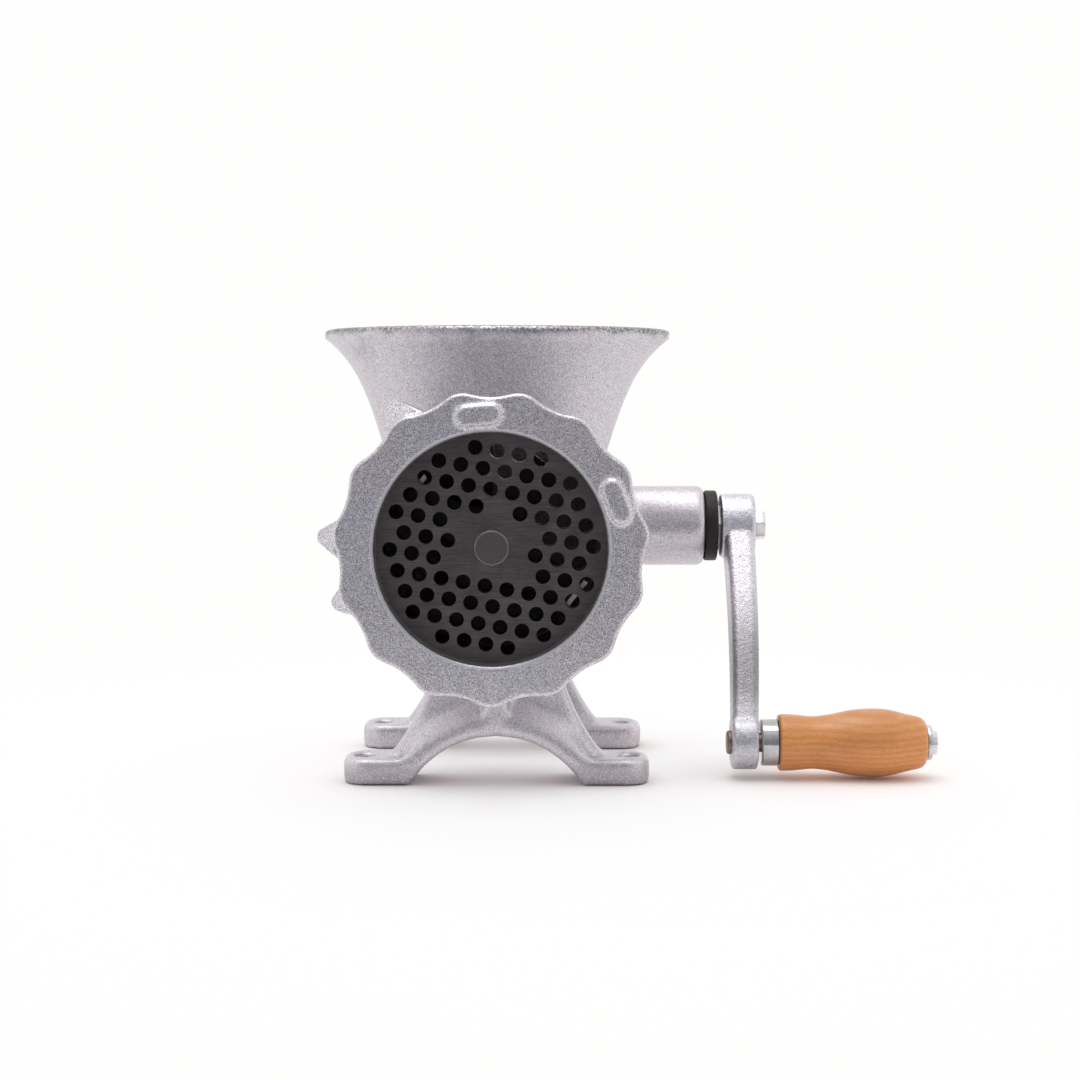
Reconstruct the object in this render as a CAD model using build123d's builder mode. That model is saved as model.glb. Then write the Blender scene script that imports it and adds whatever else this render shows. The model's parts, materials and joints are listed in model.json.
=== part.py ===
from build123d import *
import math
import os

# Hand crank meat grinder: a cast body with a hopper, four bolted feet and a crank at its side.
# A pair of mitre gears turns the crank's motion into the screw that feeds knife and plate.
# The origin is the middle of the four bolt holes, on the table top. +X points to the crank,
# -Y to the outlet plate and +Z up. All lengths are millimetres.

# Gaps between pieces
turn_gap = 0.05  # a shaft in its bush
slip_gap = 0.15  # pieces pushed together by hand
cast_gap = 0.3  # rough faces that pass each other
seat_gap = 0.02  # pieces driven in to stay

# Main axes
axis_height = 88.5
crank_y = 26.0
front_reach = 98.0
ring_front_y = -front_reach

# Outlet: plate, knife and the ring that clamps them
plate_r = 41.0
plate_thick = 9.0
plate_hole_r = 2.5
plate_web_width = 2.4
plate_turn = -10.0
plate_blank_norm = 4
plate_edge_norm = 21
plate_bore_r = 6.0
lip_cover = 2.5
lip_depth = 9.0
lip_round = 0.8
ring_depth = 30.0
ring_rise = 7.3
ring_scallop = 2.2
ring_lobe_round = 9.0
ring_lobes = 15
ring_lobe_start = 6.0
ring_edge = 1.2
lug_angles = (125.0, 176.5, 200.0)
lug_rises = (7.0, 6.6, 5.0)
lug_tip_round = 2.8
lug_slope = 33.0
lug_setback = 9.0
lug_depth = 17.0
pad_angles = (95.0, 21.0)
pad_length = 16.8
pad_width = 8.4
pad_height = 1.6
pad_slope = 42.0
knife_thick = 8.5
knife_gap = 5.0
knife_hub_r = 13.0
knife_blades = 4
knife_turn = 52.0
knife_root = 6.0
knife_lead = 10.0
knife_waist = 3.5
knife_back = 5.0
knife_bevel = 2.6
key_r = 2.0
key_seat = 6.0

# Barrel
nose_wall = 3.7
nose_length = 21.0
plate_stands_out = 1.5
plate_ledge = 3.0
barrel_wall = 8.5
bulkhead_thick = 10.0
chamber_depth = 52.5

# Hopper
throat_half_x = 38.6
throat_half_y = 26.5
throat_y = -39.5
throat_rise = 27.0
rim_half_x = 62.3
rim_half_y = 51.5
rim_y = -18.0
rim_height = 163.2
rim_band = 3.6
rim_overhang = 0.8
rim_round = 1.4
hopper_wall = 4.5
flare_straight = 0.6
flare_power = 4.5
flare_steps = 6

# Feet and legs
bolt_span_x = 95.0
bolt_span_y = 72.0
bolt_hole_r = 3.6
foot_end = 7.8
foot_depth = 23.0
foot_thick = 9.2
foot_round = 9.0
foot_edge = 1.8
arch_half = 31.0
arch_rise = 17.3
band_foot_half = 34.0
band_mid_half = 18.0
band_mid_height = 18.2
band_crown_half = 4.5
band_crown_height = 23.5
ledge_depth = 8.0
web_thick = 11.0
web_foot_half = 38.5
web_mid_half = 28.0
web_mid_height = 26.5
web_top_half = 21.5
web_top_height = 48.0

# Feed screw and its drive
screw_gap = 0.7
screw_core_front_r = 13.0
screw_core_rear_r = 17.0
screw_pitch = 31.0
flight_thick = 5.5
flight_sink = 4.0
knife_square = 15.0
pin_r = 5.92
pin_stands_out = 0.4
pin_tail_r = 6.0
pin_tail_length = 18.0
tang_square = 12.0
tang_length = 14.5
thrust_washer_thick = 2.0
thrust_washer_r = 20.0
sleeve_r = 12.0
drive_bush_wall = 3.0
drive_bush_flange_r = 19.0
bush_flange_thick = 2.0
seal_thick = 3.0

# Mitre gears
gear_teeth = 16
gear_module = 2.5
gear_face = 7.0
gear_backlash = 1.0
pressure_angle = 20.0
dedendum_factor = 1.25
gear_back_thick = 4.5
gear_back_r = 15.3
gear_boss_r = 8.0
gear_boss_height = 2.0

# Crank shaft
boss_r = 15.5
boss_reach = 32.8
boss_round = 2.5
boss_fillet = 10.0
shaft_r = 8.0
pinion_bore_r = 7.0
pinion_hub_r = 12.0
pinion_hub_length = 6.5
pinion_pin_r = 2.0
pinion_washer_thick = 2.0
shaft_bush_r = 11.0
shaft_bush_length = 18.0
shaft_bush_flange_r = 14.0
collar_thick = 5.0
hub_gap = 1.3
collar_r = 13.75
collar_edge = 1.0
crank_square = 11.2
crank_square_length = 10.5

# Crank arm and handle
hub_r = 12.4
hub_length = 13.4
hub_round = 1.6
arm_length = 94.8
arm_hub_half = 9.6
arm_eye_half = 8.2
arm_hub_inset = 1.3
arm_thick = 11.0
arm_bow = 1.2
eye_r = 9.8
eye_thick = 9.5
eye_inset = 0.2
eye_round = 1.2
arm_round = 2.4
bolt_r = 3.0
bolt_length = 16.0
bolt_head_flats = 10.0
bolt_head_height = 4.2
bolt_head_turn = 46.0
stud_r = 3.5
stud_head_r = 4.3
stud_head_height = 1.6
stud_thread_r = 2.5
stud_thread_length = 3.8
ferrule_r = 8.5
ferrule_length = 6.4
ferrule_edge = 0.5
ferrule_gap = 1.2
grip_length = 54.0
grip_end_r = 6.5
grip_max_r = 12.4
grip_start_r = 9.2
grip_neck_r = 9.6
grip_bead_r = 10.3
grip_bead_x = 3.4
grip_neck_x = 12.3
grip_swell_x = 22.0
grip_swell_r = 10.95
grip_max_x = 35.5
grip_shoulder_x = 49.3
grip_shoulder_r = 10.0
grip_washer_r = 6.4
grip_washer_thick = 1.7
grip_nut_flats = 8.0
grip_nut_height = 2.0
grip_table_gap = 0.4

# Rear cover
gasket_thick = 0.6
cover_thick = 6.0
cover_rim = 4.5
cover_rim_depth = 3.0
cover_boss_r = 14.0
cover_boss_height = 3.0
cover_edge = 1.5
spigot_r = 7.0
cover_screws = 4
screw_shank_r = 2.5
screw_shank_length = 18.0
screw_head_flats = 8.0
screw_head_height = 3.5

# The gear train, which needs room in its chamber
pitch_r = gear_module * gear_teeth / 2
pinion_end_x = pitch_r + gear_back_thick + pinion_hub_length
shaft_flange_x = pinion_end_x + pinion_washer_thick
boss_inner_x = shaft_flange_x + bush_flange_thick

# Radii round the feed axis
seat_r = plate_r + cast_gap
lip_r = plate_r - lip_cover
bore_r = plate_r - plate_ledge
chamber_r = math.hypot(boss_inner_x, shaft_bush_flange_r) + cast_gap
barrel_r = max(bore_r, chamber_r) + barrel_wall
nose_r = seat_r + nose_wall
ring_peak_r = nose_r + ring_rise
ring_valley_r = ring_peak_r - ring_scallop
pad_centre_r = (lip_r + ring_valley_r) / 2
knife_reach = bore_r - knife_gap
screw_r = bore_r - screw_gap
screw_circle_r = barrel_r - barrel_wall / 2
drive_bush_r = sleeve_r + drive_bush_wall

# Places along the feed axis, from the outlet to the back
plate_front_y = ring_front_y + lip_depth
plate_back_y = plate_front_y + plate_thick
nose_front_y = plate_front_y + plate_stands_out
ring_back_y = ring_front_y + ring_depth
knife_back_y = plate_back_y + knife_thick
gear_back_y = crank_y - pitch_r - gear_back_thick
bulkhead_back_y = gear_back_y - bush_flange_thick
bulkhead_front_y = bulkhead_back_y - bulkhead_thick
screw_back_y = bulkhead_front_y - thrust_washer_thick
screw_length = screw_back_y - knife_back_y
chamber_back_y = bulkhead_back_y + chamber_depth
cover_front_y = chamber_back_y + gasket_thick
cover_back_y = cover_front_y + cover_thick
gear_boss_y = crank_y - pitch_r + gear_face + gear_boss_height

# Places along the crank axis, from the gears outwards
boss_end_x = barrel_r + boss_reach
collar_x = boss_end_x + turn_gap
shaft_square_x = collar_x + collar_thick
hub_x = shaft_square_x + hub_gap
hub_end_x = hub_x + hub_length
socket_end_x = hub_x + crank_square_length
eye_x = hub_x - eye_inset
eye_end_x = eye_x + eye_thick
ferrule_x = eye_end_x + ferrule_gap
grip_x = ferrule_x + ferrule_length
grip_end_x = grip_x + grip_length
grip_washer_x = grip_end_x + turn_gap
grip_nut_x = grip_washer_x + grip_washer_thick

# The handle rests on the table, which gives the crank's angle from straight down
handle_z = grip_max_r + grip_table_gap
crank_lean = math.acos((axis_height - handle_z) / arm_length)
arm_dir = (0, -math.sin(crank_lean), -math.cos(crank_lean))
arm_side = (0, math.cos(crank_lean), -math.sin(crank_lean))
handle_y = crank_y + arm_length * arm_dir[1]

feed_axis = Axis((0, 0, axis_height), (0, 1, 0))
handle_axis = Axis((0, handle_y, handle_z), (1, 0, 0))

os.makedirs("parts", exist_ok=True)


def facing_front(y):
    # A plane across the feed axis: right is +X, up is +Z, and it faces the outlet side
    return Plane(origin=(0, y, axis_height), x_dir=(1, 0, 0), z_dir=(0, -1, 0))


def facing_back(y):
    # A plane across the feed axis that faces away from the outlet
    return Plane(origin=(0, y, axis_height), x_dir=(-1, 0, 0), z_dir=(0, 1, 0))


def facing_right(x):
    # A plane across the crank axis that faces away from the body
    return Plane(origin=(x, crank_y, axis_height), x_dir=(0, 1, 0), z_dir=(1, 0, 0))


def across_handle(x):
    # A plane across the handle's own axis
    return Plane(origin=(x, handle_y, handle_z), x_dir=(0, 1, 0), z_dir=(1, 0, 0))


def polar_point(radius, degrees):
    return (radius * math.cos(math.radians(degrees)), radius * math.sin(math.radians(degrees)))


def spoke_point(degrees, along, across):
    # A point out along a spoke, and to the left of it
    return Vector(*polar_point(along, degrees)) + Vector(*polar_point(across, degrees + 90))


def flare(step):
    # A trumpet mouth: a straight taper with a quick outward turn near the rim
    return flare_straight * step + (1 - flare_straight) * step**flare_power


def hopper_section(step, inset):
    # Centre, half sizes and height of the hopper's oval, from throat (0) to rim (1)
    share = flare(step)
    low = axis_height + throat_rise
    high = rim_height - rim_band
    centre = (0, throat_y + (rim_y - throat_y) * share, low + (high - low) * step)
    half_x = throat_half_x + (rim_half_x - throat_half_x) * share - inset
    half_y = throat_half_y + (rim_half_y - throat_half_y) * share - inset
    return Plane(origin=centre), half_x, half_y


def mitre_outline(first_angle):
    # Tooth outline at the gears' large end, from the involute on the back cone
    cone = math.radians(45)
    virtual_r = pitch_r / math.cos(cone)
    base_r = virtual_r * math.cos(math.radians(pressure_angle))
    levels = (virtual_r - dedendum_factor * gear_module, base_r, virtual_r, virtual_r + gear_module)
    pitch_half = (math.pi * gear_module / 2 - gear_backlash) / (2 * virtual_r)

    def involute(r):
        angle = math.acos(min(1, base_r / r))
        return math.tan(angle) - angle

    rising = []
    for level in levels:
        half = pitch_half + involute(virtual_r) - involute(max(level, base_r))
        radius = level * math.cos(cone)
        height = pitch_r - (radius - pitch_r) * math.tan(cone)
        rising.append((radius * pitch_r / height, math.degrees(half / math.cos(cone))))
    points = []
    for tooth in range(gear_teeth):
        middle = first_angle + 360 * tooth / gear_teeth
        points += [polar_point(r, middle - half) for r, half in rising]
        points += [polar_point(r, middle + half) for r, half in reversed(rising)]
    return points


def scaled(points, factor):
    return [(x * factor, y * factor) for x, y in points]


# Body: hopper, barrel, gear chamber, crank boss and feet in one casting
arch_r = (arch_half**2 + arch_rise**2) / (2 * arch_rise)
foot_half = bolt_span_x / 2 + foot_end
with BuildPart() as body_casting:
    with BuildSketch(facing_front(nose_front_y + nose_length)):
        Circle(barrel_r)
    extrude(amount=-(chamber_back_y - nose_front_y - nose_length))
    with BuildSketch(facing_right(0)):
        Circle(boss_r)
    extrude(amount=boss_end_x)
    fillet(body_casting.edges().filter_by(GeomType.BSPLINE), boss_fillet)
    fillet(body_casting.faces().sort_by(Axis.X)[-1].edges(), boss_round)
    with BuildSketch(facing_front(nose_front_y)):
        Circle(nose_r)
    extrude(amount=-nose_length)
    for side in (-1, 1):
        face_y = side * (bolt_span_y + foot_depth) / 2
        band_plane = Plane(origin=(0, face_y, 0), x_dir=(1, 0, 0), z_dir=(0, -1, 0))
        web_plane = band_plane.offset(side * ledge_depth)
        with BuildSketch(Plane.XY):
            with Locations((0, side * bolt_span_y / 2)):
                RectangleRounded(2 * foot_half, foot_depth, foot_round)
        extrude(amount=foot_thick)
        foot_top = body_casting.edges().filter_by_position(Axis.Z, foot_thick, foot_thick)
        fillet(foot_top.filter_by(lambda e: e.center().Y * side > 0), foot_edge)
        with BuildSketch(band_plane):
            with BuildLine():
                left = ThreePointArc(
                    (-band_foot_half, foot_thick),
                    (-band_mid_half, band_mid_height),
                    (-band_crown_half, band_crown_height),
                )
                right = ThreePointArc(
                    (band_foot_half, foot_thick),
                    (band_mid_half, band_mid_height),
                    (band_crown_half, band_crown_height),
                )
                Line(left @ 1, right @ 1)
                Polyline(left @ 0, (-band_foot_half, 0), (band_foot_half, 0), right @ 0)
            make_face()
        extrude(amount=side * (foot_depth - foot_edge))
        with BuildSketch(band_plane):
            with BuildLine():
                Polyline(
                    (-band_crown_half, arch_rise),
                    (band_crown_half, arch_rise),
                    (band_crown_half, axis_height - bore_r),
                    (-band_crown_half, axis_height - bore_r),
                    close=True,
                )
            make_face()
        extrude(amount=side * (ledge_depth + web_thick))
        with BuildSketch(web_plane):
            with BuildLine():
                left = ThreePointArc(
                    (-web_foot_half, foot_thick),
                    (-web_mid_half, web_mid_height),
                    (-web_top_half, web_top_height),
                )
                right = ThreePointArc(
                    (web_foot_half, foot_thick),
                    (web_mid_half, web_mid_height),
                    (web_top_half, web_top_height),
                )
                Line(left @ 1, right @ 1)
                Polyline(left @ 0, (-web_foot_half, 0), (web_foot_half, 0), right @ 0)
            make_face()
        extrude(amount=side * web_thick)
    with BuildSketch(Plane(origin=(0, 0, 0), x_dir=(1, 0, 0), z_dir=(0, -1, 0))):
        with Locations((0, arch_rise - arch_r)):
            Circle(arch_r)
    extrude(amount=bolt_span_y, both=True, mode=Mode.SUBTRACT)
    for step in range(flare_steps):
        section, half_x, half_y = hopper_section(step / (flare_steps - 1), 0)
        with BuildSketch(section):
            Ellipse(half_x, half_y)
    loft()
    section, half_x, half_y = hopper_section(0, 0)
    with BuildSketch(section):
        Ellipse(half_x, half_y)
    extrude(amount=-throat_rise)
    section, half_x, half_y = hopper_section(1, -rim_overhang)
    with BuildSketch(section):
        Ellipse(half_x, half_y)
    extrude(amount=rim_band)
    for step in range(flare_steps):
        section, half_x, half_y = hopper_section(step / (flare_steps - 1), hopper_wall)
        with BuildSketch(section):
            Ellipse(half_x, half_y)
    loft(mode=Mode.SUBTRACT)
    section, half_x, half_y = hopper_section(1, hopper_wall)
    with BuildSketch(section):
        Ellipse(half_x, half_y)
    extrude(amount=rim_band, mode=Mode.SUBTRACT)
    fillet(body_casting.faces().sort_by(Axis.Z)[-1].edges(), rim_round)
    section, half_x, half_y = hopper_section(0, hopper_wall)
    with BuildSketch(section):
        Ellipse(half_x, half_y)
    extrude(amount=-throat_rise, mode=Mode.SUBTRACT)
    with BuildSketch(facing_front(nose_front_y)):
        Circle(seat_r)
    extrude(amount=-(plate_back_y - nose_front_y), mode=Mode.SUBTRACT)
    with BuildSketch(facing_front(plate_back_y)):
        Circle(bore_r)
    extrude(amount=-(bulkhead_front_y - plate_back_y), mode=Mode.SUBTRACT)
    with BuildSketch(facing_front(nose_front_y)):
        with Locations((0, plate_r)):
            Circle(key_r + seat_gap)
    extrude(amount=-(plate_back_y - nose_front_y + key_seat), mode=Mode.SUBTRACT)
    with BuildSketch(facing_front(bulkhead_front_y)):
        Circle(drive_bush_r + seat_gap)
    extrude(amount=-bulkhead_thick, mode=Mode.SUBTRACT)
    with BuildSketch(facing_back(bulkhead_back_y)):
        Circle(chamber_r)
    extrude(amount=chamber_depth, mode=Mode.SUBTRACT)
    with BuildSketch(facing_right(boss_inner_x)):
        Circle(boss_r)
    extrude(amount=barrel_r - boss_inner_x)
    with BuildSketch(facing_right(0)):
        Circle(shaft_bush_r + seat_gap)
    extrude(amount=boss_end_x, mode=Mode.SUBTRACT)
    with BuildSketch(facing_front(chamber_back_y)):
        with PolarLocations(screw_circle_r, cover_screws, start_angle=180 / cover_screws):
            Circle(screw_shank_r + slip_gap)
    extrude(amount=screw_shank_length - cover_thick, mode=Mode.SUBTRACT)
    with BuildSketch(Plane.XY):
        with GridLocations(bolt_span_x, bolt_span_y, 2, 2):
            Circle(bolt_hole_r)
    extrude(amount=foot_thick, mode=Mode.SUBTRACT)
body_casting.part.label = "body_casting"
export_step(body_casting.part, "parts/body_casting.step")

# Locating pin that stops the plate from turning
with BuildPart() as plate_key:
    with BuildSketch(facing_front(plate_back_y + key_seat)):
        with Locations((0, plate_r)):
            Circle(key_r)
    extrude(amount=key_seat + plate_back_y - nose_front_y)
plate_key.part.label = "plate_key"
export_step(plate_key.part, "parts/plate_key.step")

# Perforated plate: a triangular lattice of holes, left blank round the pin but for one hole below
hole_step = 2 * plate_hole_r + plate_web_width
row_step = polar_point(hole_step, plate_turn)
column_step = polar_point(hole_step, plate_turn - 60)
hole_spots = [(-1, 2)]
for along in range(-plate_edge_norm, plate_edge_norm):
    for across in range(-plate_edge_norm, plate_edge_norm):
        if plate_blank_norm <= along**2 + along * across + across**2 <= plate_edge_norm:
            hole_spots.append((along, across))
hole_points = [
    (a * row_step[0] + b * column_step[0], a * row_step[1] + b * column_step[1])
    for a, b in hole_spots
]
with BuildPart() as hole_plate:
    with BuildSketch(facing_front(plate_back_y)):
        Circle(plate_r)
        Circle(plate_bore_r, mode=Mode.SUBTRACT)
        with Locations((0, plate_r)):
            Circle(key_r + slip_gap, mode=Mode.SUBTRACT)
        with Locations(*hole_points):
            Circle(plate_hole_r, mode=Mode.SUBTRACT)
    extrude(amount=plate_thick)
hole_plate.part.label = "hole_plate"
export_step(hole_plate.part, "parts/hole_plate.step")

# Ring nut: scalloped rim, three spanner lugs and two raised pads on its face
lobe_pitch = 360 / ring_lobes
lobe_centre_r = ring_peak_r - ring_lobe_round
lobe_cos = math.cos(math.radians(lobe_pitch / 2))
lobe_chord = lobe_centre_r**2 + ring_valley_r**2 - 2 * lobe_centre_r * ring_valley_r * lobe_cos
hollow_round = (lobe_chord - ring_lobe_round**2) / (
    2 * (ring_lobe_round + lobe_centre_r * lobe_cos - ring_valley_r)
)
lug_point = lug_tip_round * (1 / math.sin(math.radians(lug_slope)) - 1)
lug_base_r = (ring_valley_r + nose_r) / 2


def lobe_angle(lobe):
    return ring_lobe_start + lobe * lobe_pitch


def lobe_end(lobe, side):
    # Where a lobe's arc runs into the hollow beside it
    lobe_centre = Vector(*polar_point(lobe_centre_r, lobe_angle(lobe)))
    hollow_angle = lobe_angle(lobe) + side * lobe_pitch / 2
    hollow_centre = Vector(*polar_point(ring_valley_r + hollow_round, hollow_angle))
    return lobe_centre + (hollow_centre - lobe_centre).normalized() * ring_lobe_round


with BuildPart() as ring_nut:
    with BuildSketch(facing_front(ring_back_y)):
        with BuildLine():
            for lobe in range(ring_lobes):
                peak = polar_point(ring_peak_r, lobe_angle(lobe))
                valley = polar_point(ring_valley_r, lobe_angle(lobe + 0.5))
                ThreePointArc(lobe_end(lobe, -1), peak, lobe_end(lobe, 1))
                ThreePointArc(lobe_end(lobe, 1), valley, lobe_end(lobe + 1, -1))
        make_face()
    extrude(amount=ring_depth)
    fillet(ring_nut.faces().sort_by(Axis.Y)[0].edges(), ring_edge)
    fillet(ring_nut.faces().sort_by(Axis.Y)[-1].edges(), ring_edge)
    with BuildSketch(facing_front(ring_front_y + lug_setback)) as lug_outline:
        for angle, rise in zip(lug_angles, lug_rises):
            apex_r = ring_peak_r + rise + lug_point
            base_half = (apex_r - lug_base_r) * math.tan(math.radians(lug_slope))
            with BuildLine():
                Polyline(
                    spoke_point(angle, lug_base_r, -base_half),
                    spoke_point(angle, apex_r, 0),
                    spoke_point(angle, lug_base_r, base_half),
                    close=True,
                )
            make_face()
        tips = lug_outline.vertices().filter_by(lambda v: math.hypot(v.X, v.Y) > ring_peak_r)
        fillet(tips, lug_tip_round)
    extrude(amount=-lug_depth)
    with BuildSketch(facing_front(ring_front_y)):
        for angle in pad_angles:
            with Locations(Location(polar_point(pad_centre_r, angle), angle + 90)):
                SlotOverall(pad_length, pad_width)
    extrude(amount=pad_height, taper=pad_slope)
    with BuildSketch(facing_front(ring_front_y)):
        Circle(lip_r)
    extrude(amount=-ring_depth, mode=Mode.SUBTRACT)
    with BuildSketch(facing_front(plate_front_y)):
        Circle(nose_r + cast_gap)
    extrude(amount=-ring_depth, mode=Mode.SUBTRACT)
    circles = ring_nut.edges().filter_by(GeomType.CIRCLE)
    lip_edges = circles.filter_by(lambda e: abs(e.radius - lip_r) < lip_round)
    fillet(lip_edges.sort_by(Axis.Y)[0], lip_round)
ring_nut.part.label = "ring_nut"
export_step(ring_nut.part, "parts/ring_nut.step")

# Knife: four bevelled blades on a square-bored hub, flat side against the plate
with BuildPart() as knife:
    with BuildSketch(facing_front(knife_back_y)):
        Circle(knife_hub_r)
        for blade in range(knife_blades):
            turn = knife_turn + 360 * blade / knife_blades
            with BuildLine():
                lead = Line(spoke_point(turn, 0, knife_root), spoke_point(turn, knife_reach, knife_lead))
                tip = Line(lead @ 1, spoke_point(turn, knife_reach, -knife_back))
                trail = ThreePointArc(
                    tip @ 1,
                    spoke_point(turn, (knife_reach + knife_hub_r) / 2, -knife_waist),
                    polar_point(knife_hub_r, turn - 180 / knife_blades),
                )
                Polyline(trail @ 1, (0, 0), lead @ 0)
            make_face()
    extrude(amount=knife_thick)
    leads = knife.faces().sort_by(Axis.Y)[-1].edges().filter_by(GeomType.LINE)
    chamfer(leads, knife_bevel)
    with BuildSketch(facing_front(knife_back_y)):
        square = knife_square + 2 * slip_gap
        Rectangle(square, square, rotation=knife_turn)
    extrude(amount=knife_thick, mode=Mode.SUBTRACT)
knife.part.label = "knife"
export_step(knife.part, "parts/knife.step")

# Pin in the screw's front end: a square for the knife, a journal for the plate, a tail to hold it
with BuildPart() as screw_pin:
    with BuildSketch(facing_front(knife_back_y)):
        Rectangle(knife_square, knife_square, rotation=knife_turn)
    extrude(amount=knife_thick - cast_gap)
    with BuildSketch(facing_front(plate_back_y + cast_gap)):
        Circle(pin_r)
    extrude(amount=plate_thick + cast_gap + pin_stands_out)
    chamfer(screw_pin.faces().sort_by(Axis.Y)[0].edges(), pin_stands_out)
    with BuildSketch(facing_back(knife_back_y)):
        Circle(pin_tail_r)
    extrude(amount=pin_tail_length)
screw_pin.part.label = "screw_pin"
export_step(screw_pin.part, "parts/screw_pin.step")

# Feed screw: a left-handed flight on a tapering core, with a square tang at the back
with BuildPart() as feed_screw:
    with BuildSketch(Plane.YZ):
        with BuildLine():
            Polyline(
                (knife_back_y, axis_height),
                (knife_back_y, axis_height + screw_core_front_r),
                (screw_back_y, axis_height + screw_core_rear_r),
                (screw_back_y, axis_height),
                close=True,
            )
        make_face()
    revolve(axis=feed_axis)
    flight_in_r = screw_core_front_r - flight_sink
    flight_mid_r = (screw_r + flight_in_r) / 2
    with BuildLine() as flight_path:
        Helix(
            screw_pitch,
            screw_length - flight_thick,
            flight_mid_r,
            center=(0, knife_back_y + flight_thick / 2, axis_height),
            direction=(0, 1, 0),
            lefthand=True,
        )
    flight_start = flight_path.line @ 0
    flight_out = flight_start - Vector(0, flight_start.Y, axis_height)
    flight_plane = Plane(origin=flight_start, x_dir=flight_out, z_dir=Vector(0, 1, 0).cross(flight_out))
    with BuildSketch(flight_plane):
        Rectangle(screw_r - flight_in_r, flight_thick)
    sweep(path=flight_path.line, is_frenet=True)
    with BuildSketch(facing_back(knife_back_y)):
        Circle(pin_tail_r + turn_gap)
    extrude(amount=pin_tail_length + cast_gap, mode=Mode.SUBTRACT)
    with BuildSketch(facing_back(screw_back_y)):
        Rectangle(tang_square, tang_square)
    extrude(amount=tang_length)
feed_screw.part.label = "feed_screw"
export_step(feed_screw.part, "parts/feed_screw.step")

# Thrust washer behind the feed screw
with BuildPart() as thrust_washer:
    with BuildSketch(facing_back(screw_back_y)):
        Circle(thrust_washer_r)
        Circle(tang_square / math.sqrt(2) + cast_gap, mode=Mode.SUBTRACT)
    extrude(amount=thrust_washer_thick)
thrust_washer.part.label = "thrust_washer"
export_step(thrust_washer.part, "parts/thrust_washer.step")

# Seal that keeps juice out of the gear chamber
with BuildPart() as drive_seal:
    with BuildSketch(facing_back(bulkhead_front_y)):
        Circle(drive_bush_r)
        Circle(sleeve_r + turn_gap, mode=Mode.SUBTRACT)
    extrude(amount=seal_thick)
drive_seal.part.label = "drive_seal"
export_step(drive_seal.part, "parts/drive_seal.step")

# Flanged bush in the bulkhead, for the drive gear's sleeve
with BuildPart() as drive_bush:
    with BuildSketch(facing_back(bulkhead_front_y + seal_thick)):
        Circle(drive_bush_r)
    extrude(amount=bulkhead_thick - seal_thick)
    with BuildSketch(facing_back(bulkhead_back_y)):
        Circle(drive_bush_flange_r)
    extrude(amount=bush_flange_thick)
    with BuildSketch(facing_back(bulkhead_front_y)):
        Circle(sleeve_r + turn_gap)
    extrude(amount=bulkhead_thick + bush_flange_thick, mode=Mode.SUBTRACT)
drive_bush.part.label = "drive_bush"
export_step(drive_bush.part, "parts/drive_bush.step")

# Drive gear: mitre teeth on a sleeve whose square socket takes the screw's tang
small_end = (pitch_r - gear_face) / pitch_r
with BuildPart() as drive_gear:
    with BuildSketch(facing_front(crank_y - pitch_r)):
        with BuildLine():
            Polyline(mitre_outline(0), close=True)
        make_face()
    with BuildSketch(facing_front(crank_y - pitch_r * small_end)):
        with BuildLine():
            Polyline(scaled(mitre_outline(0), small_end), close=True)
        make_face()
    loft(ruled=True)
    with BuildSketch(facing_back(gear_back_y)):
        Circle(gear_back_r)
    extrude(amount=gear_back_thick)
    with BuildSketch(facing_back(bulkhead_front_y)):
        Circle(sleeve_r)
    extrude(amount=bulkhead_thick + bush_flange_thick)
    with BuildSketch(facing_front(gear_boss_y)):
        Circle(gear_boss_r)
    extrude(amount=gear_boss_height)
    with BuildSketch(facing_back(bulkhead_front_y)):
        Rectangle(tang_square + 2 * slip_gap, tang_square + 2 * slip_gap)
    extrude(amount=tang_length, mode=Mode.SUBTRACT)
drive_gear.part.label = "drive_gear"
export_step(drive_gear.part, "parts/drive_gear.step")

# Pinion on the crank shaft, half a tooth out of step so that it meshes
pinion_pin_x = pinion_end_x - pinion_hub_length / 2
with BuildPart() as drive_pinion:
    with BuildSketch(facing_right(pitch_r)):
        with BuildLine():
            Polyline(mitre_outline(180 / gear_teeth), close=True)
        make_face()
    with BuildSketch(facing_right(pitch_r * small_end)):
        with BuildLine():
            Polyline(scaled(mitre_outline(180 / gear_teeth), small_end), close=True)
        make_face()
    loft(ruled=True)
    with BuildSketch(facing_right(pitch_r)):
        Circle(gear_back_r)
    extrude(amount=gear_back_thick)
    with BuildSketch(facing_right(pitch_r + gear_back_thick)):
        Circle(pinion_hub_r)
    extrude(amount=pinion_hub_length)
    with BuildSketch(facing_right(0)):
        Circle(pinion_bore_r + seat_gap)
    extrude(amount=pinion_end_x, mode=Mode.SUBTRACT)
    with BuildSketch(Plane(origin=(pinion_pin_x, crank_y, axis_height))):
        Circle(pinion_pin_r + seat_gap)
    extrude(amount=pinion_hub_r, both=True, mode=Mode.SUBTRACT)
drive_pinion.part.label = "drive_pinion"
export_step(drive_pinion.part, "parts/drive_pinion.step")

# Cross pin that holds the pinion on its shaft
with BuildPart() as pinion_pin:
    with BuildSketch(Plane(origin=(pinion_pin_x, crank_y, axis_height))):
        Circle(pinion_pin_r)
    extrude(amount=pinion_hub_r - cast_gap, both=True)
pinion_pin.part.label = "pinion_pin"
export_step(pinion_pin.part, "parts/pinion_pin.step")

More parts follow.
